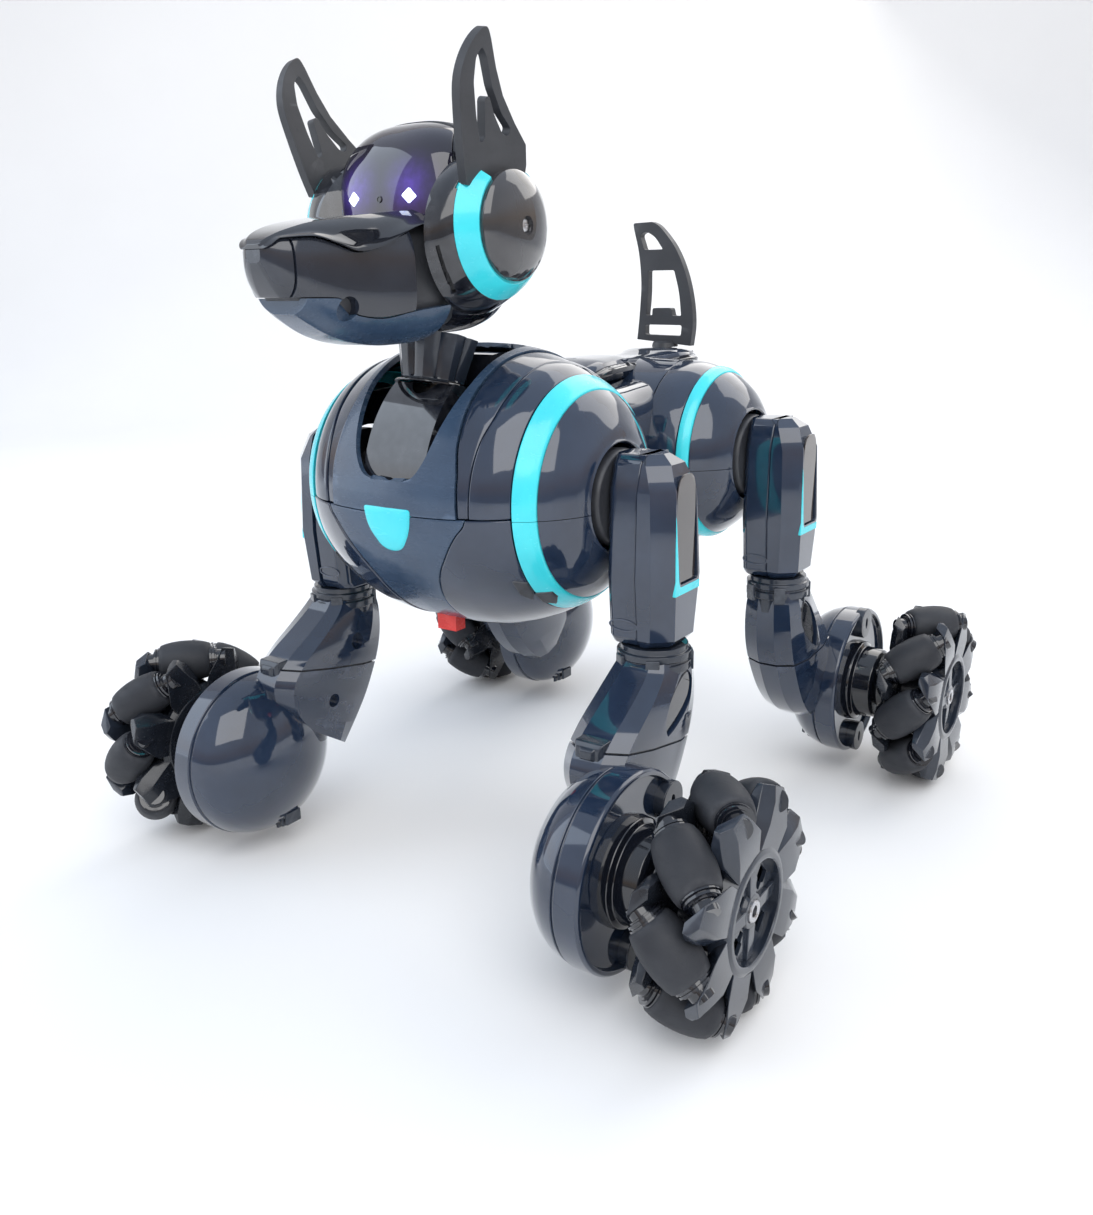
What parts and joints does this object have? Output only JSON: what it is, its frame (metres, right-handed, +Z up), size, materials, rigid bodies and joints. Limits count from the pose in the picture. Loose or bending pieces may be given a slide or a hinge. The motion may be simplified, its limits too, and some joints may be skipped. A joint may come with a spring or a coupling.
{
  "type": "quadruped robot dog",
  "caption": "Toy robot dog with upright ears, a barrel body, a ladder-shaped tail and legs that end in slanted-roller wheels.",
  "frame": {"origin": "on the floor under the middle of the dog, midway between the nose tip and the back of the hind wheels", "axes": "+Z up, the dog faces -Y, +X is the dog's left side"},
  "size_m": [0.2554, 0.2812, 0.2725],
  "materials": {
    "body_shell": "satin blue-black shell",
    "gloss_black": "high gloss black",
    "cyan_trim": "smooth cyan",
    "matte_black": "matte dark grey",
    "visor": "smoked gloss",
    "eye_light": "lit lens",
    "roller_rubber": "matte rubber",
    "wheel_plastic": "gloss dark blue-grey",
    "inner_plastic": "plain moulded grey",
    "motor_steel": "zinc-plated can",
    "screw_steel": "zinc-plated",
    "battery_wrap": "shrink wrap",
    "board_green": "solder mask",
    "switch_red": "gloss red"
  },
  "bodies": {
    "torso": {"body_shell_upper": "body_shell", "body_shell_lower": "body_shell", "chest_badge": "cyan_trim", "front_hip_rings": "cyan_trim", "hind_hip_rings": "cyan_trim", "rump_cover": "gloss_black", "battery_pack": "battery_wrap", "battery_door": "matte_black", "circuit_board": "board_green", "front_leg_gearbox": "inner_plastic", "hind_leg_gearbox": "inner_plastic", "body_screws": "screw_steel"},
    "tail_body": {"tail": "matte_black"},
    "switch_body": {"power_switch": "switch_red"},
    "neck": {"neck_drum": "gloss_black", "neck_column": "gloss_black"},
    "head": {"head_shell": "gloss_black", "lower_jaw": "gloss_black", "nose_cap": "gloss_black", "face_visor": "visor", "snout_plate": "gloss_black", "eye_lights": "eye_light", "left_ear": "matte_black", "right_ear": "matte_black", "left_ear_pod": "gloss_black", "right_ear_pod": "gloss_black", "ear_rings": "cyan_trim", "ear_caps": "gloss_black"},
    "front_left_thigh": {"front_left_upper_leg": "gloss_black", "front_left_leg_trim": "cyan_trim"},
    "front_left_shin": {"front_left_lower_leg": "gloss_black", "front_left_wheel_housing": "gloss_black", "front_left_wheel_motor": "motor_steel"},
    "front_left_wheel": {"front_left_wheel_hub": "wheel_plastic", "front_left_rollers": "roller_rubber", "front_left_star_plate": "wheel_plastic"},
    "front_right_thigh": {"front_right_upper_leg": "gloss_black", "front_right_leg_trim": "cyan_trim"},
    "front_right_shin": {"front_right_lower_leg": "gloss_black", "front_right_wheel_housing": "gloss_black", "front_right_wheel_motor": "motor_steel"},
    "front_right_wheel": {"front_right_wheel_hub": "wheel_plastic", "front_right_rollers": "roller_rubber", "front_right_star_plate": "wheel_plastic"},
    "hind_left_thigh": {"hind_left_upper_leg": "gloss_black", "hind_left_leg_trim": "cyan_trim"},
    "hind_left_shin": {"hind_left_lower_leg": "gloss_black", "hind_left_wheel_housing": "gloss_black", "hind_left_wheel_motor": "motor_steel"},
    "hind_left_wheel": {"hind_left_wheel_hub": "wheel_plastic", "hind_left_rollers": "roller_rubber", "hind_left_star_plate": "wheel_plastic"},
    "hind_right_thigh": {"hind_right_upper_leg": "gloss_black", "hind_right_leg_trim": "cyan_trim"},
    "hind_right_shin": {"hind_right_lower_leg": "gloss_black", "hind_right_wheel_housing": "gloss_black", "hind_right_wheel_motor": "motor_steel"},
    "hind_right_wheel": {"hind_right_wheel_hub": "wheel_plastic", "hind_right_rollers": "roller_rubber", "hind_right_star_plate": "wheel_plastic"}
  },
  "joints": [
    {"name": "neck_pitch", "type": "hinge", "parent": "torso", "child": "neck", "pos_m": [0, -0.0493, 0.1407], "axis": [1, 0, 0], "range_deg": [-8, 14]},
    {"name": "head_yaw", "type": "hinge", "parent": "neck", "child": "head", "pos_m": [0, -0.0677, 0.19], "axis": [0, 0.2588, 0.9659], "range_deg": [-45, 45]},
    {"name": "tail_swivel", "type": "hinge", "parent": "torso", "child": "tail_body", "pos_m": [0, 0.082, 0.175], "axis": [0, 0, 1], "range_deg": [-60, 60]},
    {"name": "power_switch_slide", "type": "slide", "parent": "torso", "child": "switch_body", "axis": [1, 0, 0], "range_m": [0, 0.003]},
    {"name": "front_left_hip", "type": "hinge", "parent": "torso", "child": "front_left_thigh", "pos_m": [0.0535, -0.0493, 0.1407], "axis": [1, 0, 0], "range_deg": [-75, 25]},
    {"name": "front_left_collar_swivel", "type": "hinge", "parent": "front_left_thigh", "child": "front_left_shin", "pos_m": [0.0693, -0.0493, 0.0953], "axis": [0, 0, 1], "range_deg": [-45, 45]},
    {"name": "front_left_wheel_spin", "type": "hinge", "parent": "front_left_shin", "child": "front_left_wheel", "pos_m": [0.1147, -0.0914, 0.0375], "axis": [1, 0, 0], "continuous": true},
    {"name": "front_right_hip", "type": "hinge", "parent": "torso", "child": "front_right_thigh", "pos_m": [-0.0535, -0.0493, 0.1407], "axis": [1, 0, 0], "range_deg": [-75, 25]},
    {"name": "front_right_collar_swivel", "type": "hinge", "parent": "front_right_thigh", "child": "front_right_shin", "pos_m": [-0.0693, -0.0493, 0.0953], "axis": [0, 0, -1], "range_deg": [-45, 45]},
    {"name": "front_right_wheel_spin", "type": "hinge", "parent": "front_right_shin", "child": "front_right_wheel", "pos_m": [-0.1147, -0.0914, 0.0375], "axis": [1, 0, 0], "continuous": true},
    {"name": "hind_left_hip", "type": "hinge", "parent": "torso", "child": "hind_left_thigh", "pos_m": [0.0535, 0.0493, 0.1407], "axis": [1, 0, 0], "range_deg": [-25, 75]},
    {"name": "hind_left_collar_swivel", "type": "hinge", "parent": "hind_left_thigh", "child": "hind_left_shin", "pos_m": [0.0693, 0.0493, 0.0953], "axis": [0, 0, 1], "range_deg": [-45, 45]},
    {"name": "hind_left_wheel_spin", "type": "hinge", "parent": "hind_left_shin", "child": "hind_left_wheel", "pos_m": [0.1147, 0.103, 0.0375], "axis": [1, 0, 0], "continuous": true},
    {"name": "hind_right_hip", "type": "hinge", "parent": "torso", "child": "hind_right_thigh", "pos_m": [-0.0535, 0.0493, 0.1407], "axis": [1, 0, 0], "range_deg": [-25, 75]},
    {"name": "hind_right_collar_swivel", "type": "hinge", "parent": "hind_right_thigh", "child": "hind_right_shin", "pos_m": [-0.0693, 0.0493, 0.0953], "axis": [0, 0, -1], "range_deg": [-45, 45]},
    {"name": "hind_right_wheel_spin", "type": "hinge", "parent": "hind_right_shin", "child": "hind_right_wheel", "pos_m": [-0.1147, 0.103, 0.0375], "axis": [1, 0, 0], "continuous": true}
  ],
  "couplings": [
    {"joint": "front_right_hip", "follows": "front_left_hip", "ratio": 1},
    {"joint": "hind_right_hip", "follows": "hind_left_hip", "ratio": 1}
  ]
}
